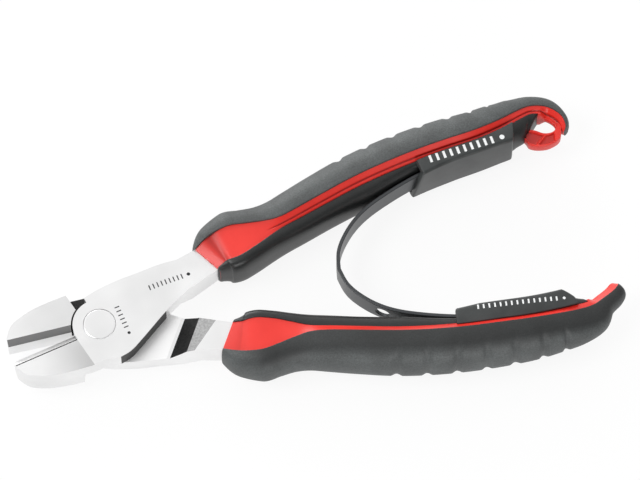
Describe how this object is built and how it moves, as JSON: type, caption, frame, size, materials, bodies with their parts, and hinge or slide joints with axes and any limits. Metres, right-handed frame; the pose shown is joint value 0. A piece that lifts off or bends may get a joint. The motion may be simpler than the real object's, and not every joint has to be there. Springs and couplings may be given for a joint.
{
  "type": "diagonal cutting pliers",
  "caption": "Side-cutting hand pliers with a lap joint, curved two-colour grips with finger grooves, a bowed leaf return spring and a tether eye.",
  "frame": {"origin": "pivot axis at the joint's flat back face", "axes": "+X along the tool's middle line, from the joint towards the handle ends; +Z along the pivot axis, out of the front face; +Y towards the handle with the tether eye"},
  "size_m": [0.1842, 0.0835, 0.0196],
  "materials": {
    "lever_steel": "satin ground forged steel",
    "rivet_steel": "fine turned steel",
    "red_core": "satin moulded plastic",
    "grey_skin": "matte fine-textured soft moulding",
    "socket_plastic": "satin moulded plastic",
    "spring_steel": "satin blued spring strip"
  },
  "bodies": {
    "front_half": {"front_lever": "lever_steel", "pivot_rivet": "rivet_steel", "upper_grip_core": "red_core", "upper_outer_skin": "grey_skin", "upper_inner_skin": "grey_skin", "upper_spring_socket": "socket_plastic", "leaf_spring": "spring_steel"},
    "back_half": {"back_lever": "lever_steel", "lower_grip_core": "red_core", "lower_outer_skin": "grey_skin", "lower_inner_skin": "grey_skin", "lower_spring_socket": "socket_plastic"}
  },
  "joints": [
    {"name": "pivot", "type": "hinge", "parent": "front_half", "child": "back_half", "pos_m": [0, 0, 0.0055], "axis": [0, 0, 1], "range_deg": [-12, 10.4], "stiffness_Nm_per_rad": 3, "deforming": ["leaf_spring"]}
  ]
}
